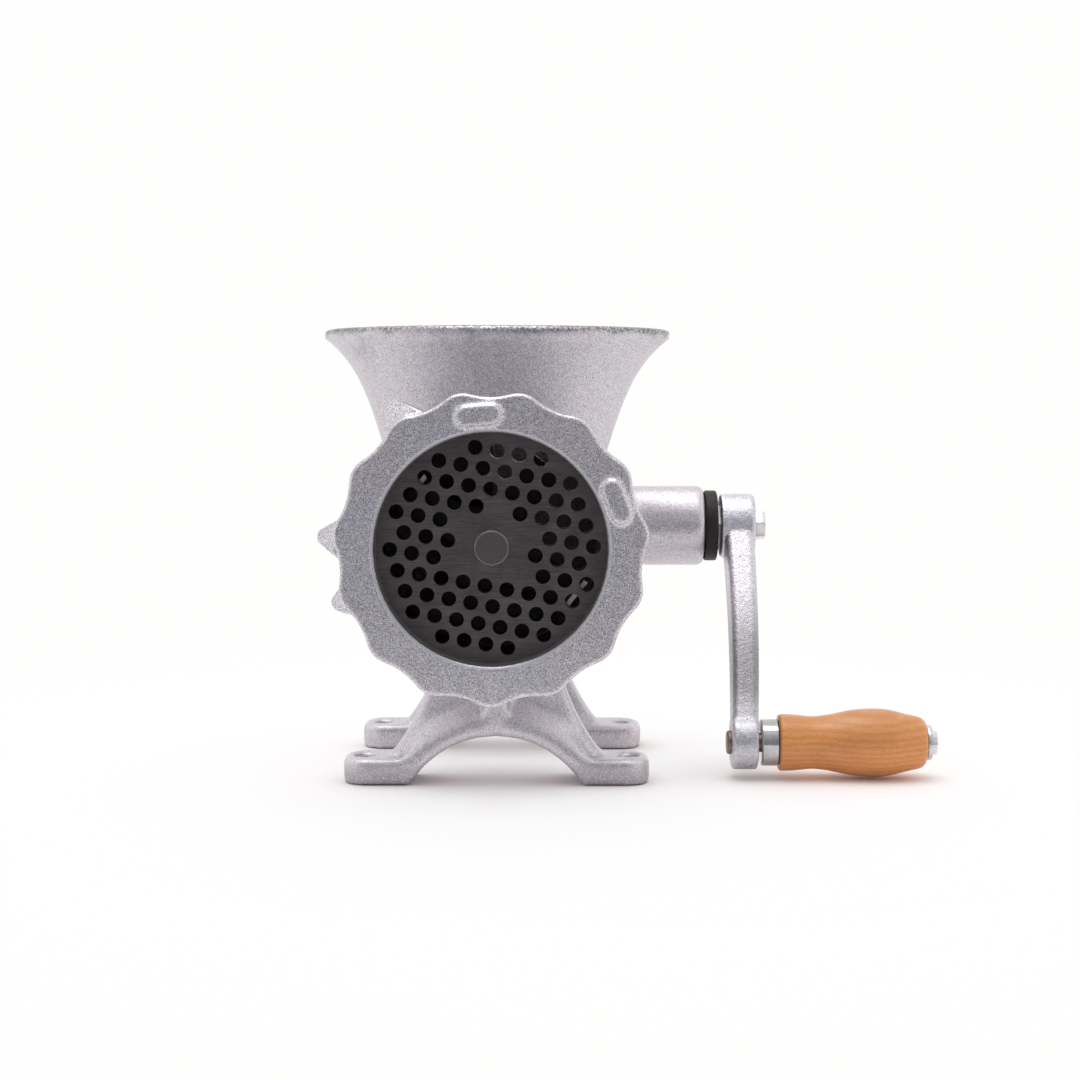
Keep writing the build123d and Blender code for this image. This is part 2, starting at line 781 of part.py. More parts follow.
# Crank shaft: pinion seat, journal and square end
with BuildPart() as crank_shaft:
    with BuildSketch(facing_right(pitch_r * small_end)):
        Circle(pinion_bore_r)
    extrude(amount=pinion_end_x - pitch_r * small_end)
    with BuildSketch(facing_right(pinion_end_x)):
        Circle(shaft_r)
    extrude(amount=shaft_square_x - pinion_end_x)
    with BuildSketch(facing_right(shaft_square_x)):
        Rectangle(crank_square, crank_square, rotation=math.degrees(crank_lean))
    extrude(amount=socket_end_x - shaft_square_x - cast_gap)
    with BuildSketch(facing_right(hub_end_x - bolt_length - cast_gap)):
        Circle(bolt_r + turn_gap)
    extrude(amount=bolt_length, mode=Mode.SUBTRACT)
    with BuildSketch(Plane(origin=(pinion_pin_x, crank_y, axis_height))):
        Circle(pinion_pin_r + seat_gap)
    extrude(amount=pinion_hub_r, both=True, mode=Mode.SUBTRACT)
crank_shaft.part.label = "crank_shaft"
export_step(crank_shaft.part, "parts/crank_shaft.step")

# Thrust washer between pinion and bush
with BuildPart() as pinion_washer:
    with BuildSketch(facing_right(pinion_end_x)):
        Circle(shaft_bush_flange_r)
        Circle(shaft_r + turn_gap, mode=Mode.SUBTRACT)
    extrude(amount=pinion_washer_thick)
pinion_washer.part.label = "pinion_washer"
export_step(pinion_washer.part, "parts/pinion_washer.step")

# Two bushes in the crank boss, the inner one flanged
with BuildPart() as inner_shaft_bush:
    with BuildSketch(facing_right(shaft_flange_x)):
        Circle(shaft_bush_flange_r)
    extrude(amount=bush_flange_thick)
    with BuildSketch(facing_right(boss_inner_x)):
        Circle(shaft_bush_r)
    extrude(amount=shaft_bush_length)
    with BuildSketch(facing_right(shaft_flange_x)):
        Circle(shaft_r + turn_gap)
    extrude(amount=bush_flange_thick + shaft_bush_length, mode=Mode.SUBTRACT)
inner_shaft_bush.part.label = "inner_shaft_bush"
export_step(inner_shaft_bush.part, "parts/inner_shaft_bush.step")

with BuildPart() as outer_shaft_bush:
    with BuildSketch(facing_right(boss_end_x - shaft_bush_length)):
        Circle(shaft_bush_r)
        Circle(shaft_r + turn_gap, mode=Mode.SUBTRACT)
    extrude(amount=shaft_bush_length)
outer_shaft_bush.part.label = "outer_shaft_bush"
export_step(outer_shaft_bush.part, "parts/outer_shaft_bush.step")

# Black collar between the boss and the crank
with BuildPart() as crank_collar:
    with BuildSketch(facing_right(collar_x)):
        Circle(collar_r)
        Circle(shaft_r + seat_gap, mode=Mode.SUBTRACT)
    extrude(amount=collar_thick)
    circles = crank_collar.edges().filter_by(GeomType.CIRCLE)
    fillet(circles.filter_by(lambda e: e.radius > shaft_bush_r), collar_edge)
crank_collar.part.label = "crank_collar"
export_step(crank_collar.part, "parts/crank_collar.step")

# Crank arm: a bowed, tapering bar between a square-socketed hub and the handle's eye
arm_x = hub_x + arm_hub_inset
arm_plane = Plane(origin=(hub_x, crank_y, axis_height), x_dir=arm_dir, z_dir=(1, 0, 0))
bow_plane = Plane(origin=(0, crank_y, axis_height), x_dir=(1, 0, 0), z_dir=arm_side)
with BuildPart() as crank_arm:
    with BuildSketch(bow_plane):
        with BuildLine():
            inner = ThreePointArc(
                (arm_x, 0), ((arm_x + eye_x) / 2 + arm_bow, arm_length / 2), (eye_x, arm_length)
            )
            outer = ThreePointArc(
                (arm_x + arm_thick, 0),
                ((arm_x + arm_thick + eye_end_x) / 2 + arm_bow, arm_length / 2),
                (eye_end_x, arm_length),
            )
            Line(inner @ 0, outer @ 0)
            Line(inner @ 1, outer @ 1)
        make_face()
    extrude(amount=hub_r, both=True)
    with BuildSketch(arm_plane):
        with BuildLine():
            Polyline(
                (0, arm_hub_half),
                (arm_length, arm_eye_half),
                (arm_length, -arm_eye_half),
                (0, -arm_hub_half),
                close=True,
            )
        make_face()
    extrude(amount=arm_length, both=True, mode=Mode.INTERSECT)
    long_edges = crank_arm.edges().filter_by(lambda e: e.length > arm_length / 2)
    fillet(long_edges, arm_round)
    with BuildSketch(across_handle(eye_x)):
        Circle(eye_r)
    extrude(amount=eye_thick)
    fillet(crank_arm.faces().filter_by(Axis.X).sort_by(Axis.X)[0].edges(), eye_round)
    with BuildSketch(facing_right(hub_x)):
        Circle(hub_r)
    extrude(amount=hub_length)
    fillet(crank_arm.faces().filter_by(Axis.X).sort_by(Axis.X)[-1].edges(), hub_round)
    with BuildSketch(facing_right(hub_x)):
        square = crank_square + 2 * slip_gap
        Rectangle(square, square, rotation=math.degrees(crank_lean))
    extrude(amount=crank_square_length, mode=Mode.SUBTRACT)
    with BuildSketch(facing_right(hub_x)):
        Circle(bolt_r + slip_gap)
    extrude(amount=hub_length, mode=Mode.SUBTRACT)
    with BuildSketch(across_handle(eye_x)):
        Circle(stud_r + seat_gap)
    extrude(amount=eye_thick + ferrule_gap, mode=Mode.SUBTRACT)
crank_arm.part.label = "crank_arm"
export_step(crank_arm.part, "parts/crank_arm.step")

# Bolt that holds the crank on its square
with BuildPart() as crank_bolt:
    with BuildSketch(facing_right(hub_end_x)):
        RegularPolygon(bolt_head_flats / 2, 6, major_radius=False, rotation=bolt_head_turn)
    extrude(amount=bolt_head_height)
    with BuildSketch(facing_right(hub_end_x - bolt_length)):
        Circle(bolt_r)
    extrude(amount=bolt_length)
crank_bolt.part.label = "crank_bolt"
export_step(crank_bolt.part, "parts/crank_bolt.step")

# Headed stud, riveted in the arm's eye, that the grip turns on
with BuildPart() as handle_stud:
    with BuildSketch(across_handle(eye_x - stud_head_height)):
        Circle(stud_head_r)
    extrude(amount=stud_head_height)
    fillet(handle_stud.faces().sort_by(Axis.X)[0].edges(), stud_head_height / 2)
    with BuildSketch(across_handle(eye_x)):
        Circle(stud_r)
    extrude(amount=grip_washer_x - eye_x)
    with BuildSketch(across_handle(grip_washer_x)):
        Circle(stud_thread_r)
    extrude(amount=stud_thread_length)
handle_stud.part.label = "handle_stud"
export_step(handle_stud.part, "parts/handle_stud.step")

# Steel ferrule on the grip's inner end
with BuildPart() as handle_ferrule:
    with BuildSketch(across_handle(ferrule_x)):
        Circle(ferrule_r)
        Circle(stud_r + turn_gap, mode=Mode.SUBTRACT)
    extrude(amount=ferrule_length)
    circles = handle_ferrule.edges().filter_by(GeomType.CIRCLE)
    chamfer(circles.filter_by(lambda e: e.radius > stud_head_r), ferrule_edge)
handle_ferrule.part.label = "handle_ferrule"
export_step(handle_ferrule.part, "parts/handle_ferrule.step")

# Turned wooden grip
with BuildPart() as wooden_grip:
    with BuildSketch(Plane(origin=(grip_x, handle_y, handle_z), x_dir=(1, 0, 0), z_dir=(0, -1, 0))):
        with BuildLine():
            bead = Spline(
                (0, grip_start_r), (grip_bead_x, grip_bead_r), tangents=((0, 1), (1, 0))
            )
            swell = Spline(
                bead @ 1,
                (grip_neck_x, grip_neck_r),
                (grip_swell_x, grip_swell_r),
                (grip_max_x, grip_max_r),
                tangents=((1, 0), (1, 0)),
            )
            end = Spline(
                swell @ 1,
                (grip_shoulder_x, grip_shoulder_r),
                (grip_length, grip_end_r),
                tangents=((1, 0), (0, -1)),
            )
            Polyline(bead @ 0, (0, stud_r + turn_gap), (grip_length, stud_r + turn_gap), end @ 1)
        make_face()
    revolve(axis=handle_axis)
wooden_grip.part.label = "wooden_grip"
export_step(wooden_grip.part, "parts/wooden_grip.step")

# Washer and thin nut on the stud's outer end
with BuildPart() as grip_washer:
    with BuildSketch(across_handle(grip_washer_x)):
        Circle(grip_washer_r)
        Circle(stud_thread_r + turn_gap, mode=Mode.SUBTRACT)
    extrude(amount=grip_washer_thick)
grip_washer.part.label = "grip_washer"
export_step(grip_washer.part, "parts/grip_washer.step")

with BuildPart() as grip_nut:
    with BuildSketch(across_handle(grip_nut_x)):
        RegularPolygon(grip_nut_flats / 2, 6, major_radius=False)
        Circle(stud_thread_r + turn_gap, mode=Mode.SUBTRACT)
    extrude(amount=grip_nut_height)
grip_nut.part.label = "grip_nut"
export_step(grip_nut.part, "parts/grip_nut.step")

# Rear cover: closes the gear chamber, and its spigot keeps the drive gear in place
with BuildPart() as rear_cover:
    with BuildSketch(facing_back(cover_front_y)):
        Circle(barrel_r)
    extrude(amount=cover_thick)
    fillet(rear_cover.faces().sort_by(Axis.Y)[-1].edges(), cover_edge)
    with BuildSketch(facing_back(cover_back_y)):
        Circle(cover_boss_r)
    extrude(amount=cover_boss_height)
    fillet(rear_cover.faces().sort_by(Axis.Y)[-1].edges(), cover_edge)
    with BuildSketch(facing_front(cover_front_y)):
        Circle(chamber_r - cast_gap)
        Circle(chamber_r - cast_gap - cover_rim, mode=Mode.SUBTRACT)
    extrude(amount=cover_rim_depth)
    with BuildSketch(facing_front(cover_front_y)):
        Circle(spigot_r)
    extrude(amount=cover_front_y - gear_boss_y - cast_gap)
    with BuildSketch(facing_front(cover_back_y)):
        with PolarLocations(screw_circle_r, cover_screws, start_angle=180 / cover_screws):
            Circle(screw_shank_r + slip_gap)
    extrude(amount=cover_thick, mode=Mode.SUBTRACT)
rear_cover.part.label = "rear_cover"
export_step(rear_cover.part, "parts/rear_cover.step")

with BuildPart() as cover_gasket:
    with BuildSketch(facing_back(chamber_back_y)):
        Circle(barrel_r)
        Circle(chamber_r, mode=Mode.SUBTRACT)
        with PolarLocations(screw_circle_r, cover_screws, start_angle=180 / cover_screws):
            Circle(screw_shank_r + slip_gap, mode=Mode.SUBTRACT)
    extrude(amount=gasket_thick)
cover_gasket.part.label = "cover_gasket"
export_step(cover_gasket.part, "parts/cover_gasket.step")

# Hexagon screws that hold the cover
with BuildPart() as cover_screw_set:
    with BuildSketch(facing_back(cover_back_y)):
        with PolarLocations(screw_circle_r, cover_screws, start_angle=180 / cover_screws):
            RegularPolygon(screw_head_flats / 2, 6, major_radius=False)
    extrude(amount=screw_head_height)
    with BuildSketch(facing_front(cover_back_y)):
        with PolarLocations(screw_circle_r, cover_screws, start_angle=180 / cover_screws):
            Circle(screw_shank_r)
    extrude(amount=screw_shank_length)
cover_screw_set.part.label = "cover_screws"
export_step(cover_screw_set.part, "parts/cover_screws.step")
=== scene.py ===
import json
import math

import bpy
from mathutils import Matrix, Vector


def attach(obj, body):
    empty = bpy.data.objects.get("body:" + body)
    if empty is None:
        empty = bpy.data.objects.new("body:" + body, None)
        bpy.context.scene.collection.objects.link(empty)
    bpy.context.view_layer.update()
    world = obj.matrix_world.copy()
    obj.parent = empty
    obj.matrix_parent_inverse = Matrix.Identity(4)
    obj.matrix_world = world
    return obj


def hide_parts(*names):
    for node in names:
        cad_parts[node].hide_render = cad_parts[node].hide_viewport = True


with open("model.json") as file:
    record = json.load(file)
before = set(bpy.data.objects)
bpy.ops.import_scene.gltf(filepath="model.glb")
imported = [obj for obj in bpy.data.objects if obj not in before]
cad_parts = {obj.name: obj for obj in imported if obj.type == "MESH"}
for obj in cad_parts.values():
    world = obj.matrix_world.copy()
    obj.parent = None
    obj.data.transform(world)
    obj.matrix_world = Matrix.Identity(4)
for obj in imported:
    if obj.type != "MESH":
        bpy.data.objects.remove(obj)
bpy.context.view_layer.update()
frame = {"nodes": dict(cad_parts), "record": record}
cadNodes = frame["nodes"]
scene = bpy.context.scene
scene.view_settings.view_transform = "Standard"
print("packed model loaded:", len(cadNodes), "nodes")

# the axes that pieces are made round, in metres
behaviour = frame["record"]["behaviour"]
jointPlaces = {joint["name"]: joint.get("pos_m") for joint in behaviour["joints"]}
crankY, axisHeight = jointPlaces["crank_turn"][1:]
handleY, handleZ = jointPlaces["grip_spin"][1:]

# meshing values that the pieces share
weldGap = 0.000005
smoothStep = 0.5


def pickOnly(obj):
    bpy.ops.object.select_all(action="DESELECT")
    obj.select_set(True)
    bpy.context.view_layer.objects.active = obj


def applyModifiers(obj):
    pickOnly(obj)
    for modifier in list(obj.modifiers):
        bpy.ops.object.modifier_apply(modifier=modifier.name)


def mergedCopy(nodeName, pieceName):
    obj = bpy.data.objects.new(pieceName, cadNodes[nodeName].data.copy())
    scene.collection.objects.link(obj)
    pickOnly(obj)
    bpy.ops.object.mode_set(mode="EDIT")
    bpy.ops.mesh.select_all(action="SELECT")
    bpy.ops.mesh.remove_doubles(threshold=weldGap)
    bpy.ops.object.mode_set(mode="OBJECT")
    return obj


def rampWeight(value, start, end):
    return max(0.0, min(1.0, (value - start) / (end - start)))


def smoothBy(obj, label, passes, weightAt):
    group = obj.vertex_groups.new(name=label)
    for vertex in obj.data.vertices:
        weight = weightAt(vertex.co)
        if weight > 0.0:
            group.add([vertex.index], min(weight, 1.0), "REPLACE")
    smooth = obj.modifiers.new(label, "SMOOTH")
    smooth.factor = smoothStep
    smooth.iterations = passes
    smooth.vertex_group = group.name
    applyModifiers(obj)


def softCast(nodeName, pieceName, look, skinAt, blendAt=None, mouldAt=None):
    # an even skin over the CAD shape, with its edges rubbed round
    obj = mergedCopy(nodeName, pieceName)
    remesh = obj.modifiers.new("evenSkin", "REMESH")
    remesh.mode = "VOXEL"
    remesh.voxel_size = look["voxel"]
    remesh.use_smooth_shade = True
    applyModifiers(obj)
    if mouldAt:
        for vertex in obj.data.vertices:
            vertex.co = mouldAt(vertex.co)
    if blendAt:
        smoothBy(obj, "broadFillets", look["blendPasses"], blendAt)
    smoothBy(obj, "softEdges", look["softPasses"], skinAt)
    obj.vertex_groups.clear()
    pickOnly(obj)
    bpy.ops.object.shade_smooth()
    print(pieceName, len(obj.data.polygons), "faces")
    return obj


def bevelledCopy(nodeName, pieceName, look):
    # machined piece: thin bevels on its sharp edges
    obj = mergedCopy(nodeName, pieceName)
    bpy.ops.object.mode_set(mode="EDIT")
    bpy.ops.mesh.select_all(action="SELECT")
    bpy.ops.mesh.dissolve_limited(angle_limit=math.radians(look["flatAngle"]))
    bpy.ops.object.mode_set(mode="OBJECT")
    bevel = obj.modifiers.new("edgeBevel", "BEVEL")
    bevel.limit_method = "ANGLE"
    bevel.angle_limit = math.radians(look["bevelAngle"])
    bevel.width = look["bevelWidth"]
    bevel.segments = look["segments"]
    applyModifiers(obj)
    pickOnly(obj)
    bpy.ops.object.shade_smooth_by_angle(angle=math.radians(look["smoothAngle"]))
    print(pieceName, len(obj.data.polygons), "faces")
    return obj


# node helpers
noiseLow, noiseHigh = 0.3, 0.7  # where most of a noise texture's values lie


def addNode(tree, kind, **settings):
    node = tree.nodes.new(kind)
    for key, value in settings.items():
        setattr(node, key, value)
    return node


def plug(tree, socket, source):
    if isinstance(source, bpy.types.NodeSocket):
        tree.links.new(source, socket)
    else:
        socket.default_value = source


def mathNode(tree, operation, first, second):
    node = addNode(tree, "ShaderNodeMath", operation=operation)
    plug(tree, node.inputs[0], first)
    plug(tree, node.inputs[1], second)
    return node.outputs[0]


def times(tree, first, second):
    return mathNode(tree, "MULTIPLY", first, second)


def spread(tree, value, fromLow, fromHigh, toLow, toHigh):
    node = addNode(tree, "ShaderNodeMapRange", interpolation_type="SMOOTHSTEP")
    for index, source in enumerate((value, fromLow, fromHigh, toLow, toHigh)):
        plug(tree, node.inputs[index], source)
    return node.outputs[0]


def noiseSpread(tree, noise, toLow, toHigh):
    return spread(tree, noise, noiseLow, noiseHigh, toLow, toHigh)


def mixColours(tree, mode, amount, first, second):
    node = addNode(tree, "ShaderNodeMix", data_type="RGBA", blend_type=mode)
    plug(tree, node.inputs[0], amount)
    plug(tree, node.inputs[6], first)
    plug(tree, node.inputs[7], second)
    return node.outputs[2]


def blended(tree, amount, first, second):
    return mixColours(tree, "MIX", amount, first, second)


def tinted(tree, colour, tint):
    return mixColours(tree, "MULTIPLY", 1.0, colour, tint)


def noiseValue(tree, vector, scale, detail=2.0, roughness=0.5):
    node = addNode(tree, "ShaderNodeTexNoise", noise_dimensions="3D")
    plug(tree, node.inputs["Vector"], vector)
    plug(tree, node.inputs["Scale"], scale)
    plug(tree, node.inputs["Detail"], detail)
    plug(tree, node.inputs["Roughness"], roughness)
    return node.outputs[0]


def mapped(tree, vector, location=(0, 0, 0), scale=(1, 1, 1)):
    node = addNode(tree, "ShaderNodeMapping")
    plug(tree, node.inputs["Vector"], vector)
    plug(tree, node.inputs["Location"], location)
    plug(tree, node.inputs["Scale"], scale)
    return node.outputs[0]


def objectPlace(tree):
    return addNode(tree, "ShaderNodeTexCoord").outputs["Object"]


def split(tree, vector):
    node = addNode(tree, "ShaderNodeSeparateXYZ")
    plug(tree, node.inputs[0], vector)
    return node.outputs


def feedRadius(tree, axes):
    across = addNode(tree, "ShaderNodeCombineXYZ")
    plug(tree, across.inputs["X"], axes["X"])
    plug(tree, across.inputs["Z"], mathNode(tree, "SUBTRACT", axes["Z"], axisHeight))
    radius = addNode(tree, "ShaderNodeVectorMath", operation="LENGTH")
    plug(tree, radius.inputs[0], across.outputs[0])
    return radius.outputs["Value"]


def newGroup(name, inputs):
    tree = bpy.data.node_groups.new(name, "ShaderNodeTree")
    for label, kind in inputs.items():
        tree.interface.new_socket(name=label, in_out="INPUT", socket_type="NodeSocket" + kind)
    for label, kind in (("Color", "Color"), ("Roughness", "Float"), ("Height", "Float")):
        tree.interface.new_socket(name=label, in_out="OUTPUT", socket_type="NodeSocket" + kind)
    return tree, addNode(tree, "NodeGroupInput").outputs, addNode(tree, "NodeGroupOutput").inputs


def groupNode(tree, group, look):
    node = addNode(tree, "ShaderNodeGroup", node_tree=group)
    for socket in node.inputs:
        socket.default_value = look[socket.name]
    return node.outputs


# sand-cast grain: pale and dark specks, mottling, a few pits
grainLook = {
    "middleShare": 0.3, "pitShare": 0.2, "broadScale": 34.0,
    "pitEdge": (0.1, 0.24), "pitPatches": (0.5, 0.62), "pitColour": (0.1, 0.095, 0.1, 1), "pitDarkness": 0.65,
    "specks": (0.38, 0.58), "mottle": (0.91, 1.06), "tintPatches": (0.35, 0.65),
    "warm": (1.0, 0.975, 0.99, 1), "cool": (0.975, 0.98, 1.0, 1),
    "fineHeight": 0.7, "middleHeight": 0.9, "pitHeight": 0.45,
}


def makeSandCast():
    tree, given, made = newGroup("sandCast", {
        "Pale": "Color", "Dark": "Color", "Grain": "Float", "Speckle": "Float",
        "Smoothest": "Float", "Roughest": "Float",
    })
    place = objectPlace(tree)
    grain = given["Grain"]
    fine = noiseValue(tree, place, grain, detail=2.0, roughness=0.6)
    middleScale = times(tree, grain, grainLook["middleShare"])
    middle = noiseValue(tree, place, middleScale, detail=3.0, roughness=0.6)
    broad = noiseValue(tree, place, grainLook["broadScale"], detail=3.0, roughness=0.55)
    cells = addNode(tree, "ShaderNodeTexVoronoi", feature="F1")
    plug(tree, cells.inputs["Vector"], place)
    plug(tree, cells.inputs["Scale"], times(tree, grain, grainLook["pitShare"]))
    pits = spread(tree, cells.outputs["Distance"], *grainLook["pitEdge"], 1.0, 0.0)
    pits = times(tree, pits, spread(tree, middle, *grainLook["pitPatches"], 0.0, 1.0))
    specks = spread(tree, fine, *grainLook["specks"], 0.0, 1.0)
    specks = mathNode(tree, "MAXIMUM", specks, mathNode(tree, "SUBTRACT", 1.0, given["Speckle"]))
    colour = blended(tree, specks, given["Dark"], given["Pale"])
    colour = tinted(tree, colour, noiseSpread(tree, middle, *grainLook["mottle"]))
    coolness = spread(tree, broad, *grainLook["tintPatches"], 0.0, 1.0)
    colour = tinted(tree, colour, blended(tree, coolness, grainLook["warm"], grainLook["cool"]))
    colour = blended(tree, times(tree, pits, grainLook["pitDarkness"]), colour, grainLook["pitColour"])
    height = times(tree, fine, grainLook["fineHeight"])
    height = mathNode(tree, "ADD", height, times(tree, middle, grainLook["middleHeight"]))
    height = mathNode(tree, "SUBTRACT", height, times(tree, pits, grainLook["pitHeight"]))
    plug(tree, made["Color"], colour)
    plug(tree, made["Roughness"], noiseSpread(tree, middle, given["Smoothest"], given["Roughest"]))
    plug(tree, made["Height"], height)
    return tree


# tool marks: fine lines stretched one way, with a cloudy second tone
cloudLook = {"scale": 130.0, "tones": (0.88, 1.1)}


def makeToolLines():
    tree, given, made = newGroup("toolLines", {
        "Base": "Color", "Stretch": "Vector", "Contrast": "Float", "Smoothest": "Float", "Roughest": "Float",
    })
    place = objectPlace(tree)
    stretched = mapped(tree, place, scale=given["Stretch"])
    lines = noiseValue(tree, stretched, 1.0, detail=3.0, roughness=0.7)
    cloud = noiseValue(tree, place, cloudLook["scale"], detail=3.0, roughness=0.6)
    low = mathNode(tree, "SUBTRACT", 1.0, given["Contrast"])
    high = mathNode(tree, "ADD", 1.0, given["Contrast"])
    colour = tinted(tree, given["Base"], noiseSpread(tree, lines, low, high))
    colour = tinted(tree, colour, noiseSpread(tree, cloud, *cloudLook["tones"]))
    plug(tree, made["Color"], colour)
    plug(tree, made["Roughness"], noiseSpread(tree, lines, given["Smoothest"], given["Roughest"]))
    plug(tree, made["Height"], lines)
    return tree


sandCast = makeSandCast()
toolLines = makeToolLines()


def newMaterial(name, metallic, specular=0.5):
    material = bpy.data.materials.new(name)
    material.use_nodes = True
    shader = material.node_tree.nodes["Principled BSDF"]
    shader.inputs["Metallic"].default_value = metallic
    shader.inputs["Specular IOR Level"].default_value = specular
    return material, material.node_tree, shader


def addBump(tree, shader, height, distance, strength):
    bump = addNode(tree, "ShaderNodeBump")
    bump.inputs["Strength"].default_value = strength
    bump.inputs["Distance"].default_value = distance
    plug(tree, bump.inputs["Height"], height)
    plug(tree, shader.inputs["Normal"], bump.outputs[0])


def finishMetal(tree, shader, skin, look, colour, wear):
    relief = skin["Height"]
    if wear:
        colour, relief = wear(tree, objectPlace(tree), colour, relief)
    plug(tree, shader.inputs["Base Color"], colour)
    plug(tree, shader.inputs["Roughness"], skin["Roughness"])
    addBump(tree, shader, relief, look["bumpDistance"], look["bumpStrength"])


# tinned iron, with painted light: convex edges painted lighter as a highlight, creases painted darker as
# shade
paintedEdgeLight = {"highlitEdges": (0.51, 0.58), "highlightColour": (0.95, 0.94, 0.96, 1), "hollow": (0.41, 0.485)}


def tinnedMaterial(name, look, wear=None):
    material, tree, shader = newMaterial(name, look["metallic"])
    skin = groupNode(tree, sandCast, look)
    bend = addNode(tree, "ShaderNodeNewGeometry").outputs["Pointiness"]
    # painted highlight on convex edges, then painted shade in creases, both from the mesh's pointiness
    edgeMark = spread(tree, bend, *paintedEdgeLight["highlitEdges"], 0.0, look["edgeHighlight"])
    colour = blended(tree, edgeMark, skin["Color"], paintedEdgeLight["highlightColour"])
    colour = tinted(tree, colour, spread(tree, bend, *paintedEdgeLight["hollow"], look["creaseShade"], 1.0))
    finishMetal(tree, shader, skin, look, colour, wear)
    return material


def linedMaterial(name, look, wear=None):
    material, tree, shader = newMaterial(name, look["metallic"])
    skin = groupNode(tree, toolLines, look)
    finishMetal(tree, shader, skin, look, skin["Color"], wear)
    return material


# body: hopper's top worn dark with stains under it; painted shade in the bore and on the feet towards the
# table
bodyWearAndShade = {
    "gritScale": 1100.0, "grit": (0.38, 0.56), "leastGrit": 0.2, "raggedScale": 120.0, "ragged": 0.004,
    "rubbedFrom": 0.1598, "rubbedTo": 0.1622, "edgeMark": (0.19, 0.188, 0.195, 1),
    "stainScale": 75.0, "stainPatches": (0.5, 0.66), "stainFrom": 0.14, "mostStain": 0.55,
    "stainAndShade": (0.3, 0.285, 0.295, 1), "boreR": 0.0386, "boreEdge": 0.0012, "boreShade": 0.2,
    "tableShadeFrom": 0.0095, "tableShadeTo": 0.001, "leastTableShade": 0.45, "mostTableShade": 0.75,
    "frontToBack": (-0.02, 0.02), "backTableShade": 0.3,
}


def weatherAndShadeBody(tree, place, colour, relief):
    look = bodyWearAndShade
    axes = split(tree, place)
    height = axes["Z"]
    grain = noiseValue(tree, place, look["gritScale"], detail=3.0, roughness=0.7)
    grit = spread(tree, grain, *look["grit"], look["leastGrit"], 1.0)
    wander = mathNode(tree, "SUBTRACT", noiseValue(tree, place, look["raggedScale"]), 0.5)
    raggedHeight = mathNode(tree, "ADD", height, times(tree, wander, look["ragged"]))
    top = spread(tree, raggedHeight, look["rubbedFrom"], look["rubbedTo"], 0.0, 1.0)
    colour = blended(tree, times(tree, top, grit), colour, look["edgeMark"])
    patches = noiseValue(tree, place, look["stainScale"], detail=4.0, roughness=0.65)
    stain = times(tree, spread(tree, patches, *look["stainPatches"], 0.0, 1.0), grit)
    high = spread(tree, height, look["stainFrom"], look["rubbedFrom"], 0.0, look["mostStain"])
    colour = blended(tree, times(tree, stain, high), colour, look["stainAndShade"])
    # painted shade: the bore is darkened inside
    boreR = look["boreR"]
    boreShade = spread(tree, feedRadius(tree, axes), boreR, boreR + look["boreEdge"], look["boreShade"], 1.0)
    colour = tinted(tree, colour, boreShade)
    # painted shade: darker towards the table, more on the front feet than the back, in the stain colour
    tableShade = spread(tree, raggedHeight, look["tableShadeTo"], look["tableShadeFrom"], 1.0, 0.0)
    tableShade = times(tree, tableShade, spread(tree, grit, look["leastGrit"], 1.0, look["leastTableShade"], 1.0))
    tableShade = times(tree, tableShade, spread(tree, axes["Y"], *look["frontToBack"], 1.0, look["backTableShade"]))
    colour = blended(tree, times(tree, tableShade, look["mostTableShade"]), colour, look["stainAndShade"])
    return colour, relief


# ring: the lip round the plate is turned smooth
lipWear = {"lipR": 0.0394, "lipEdge": 0.0004, "turned": (0.4, 0.4, 0.42, 1)}


def turnLip(tree, place, colour, relief):
    lipR = lipWear["lipR"]
    radius = feedRadius(tree, split(tree, place))
    cast = spread(tree, radius, lipR, lipR + lipWear["lipEdge"], 0.0, 1.0)
    return blended(tree, cast, lipWear["turned"], colour), times(tree, relief, cast)


# arm: painted shade, darker towards the hand, with its eye painted lighter
armPaintedShade = {
    "shadeFullBelow": 0.04, "shadeStartsBelow": 0.072, "shadeTint": 0.46,
    "eyeMiddle": 0.02, "eyeTop": 0.034, "eyeShadeTint": 0.84,
}


def paintArmShade(tree, place, colour, relief):
    look = armPaintedShade
    height = split(tree, place)["Z"]
    # painted shade along the arm's lower part; the eye is painted lighter
    arm = spread(tree, height, look["shadeFullBelow"], look["shadeStartsBelow"], look["shadeTint"], 1.0)
    eye = spread(tree, height, look["eyeMiddle"], look["eyeTop"], look["eyeShadeTint"], look["shadeTint"])
    return tinted(tree, colour, mathNode(tree, "MAXIMUM", arm, eye)), relief


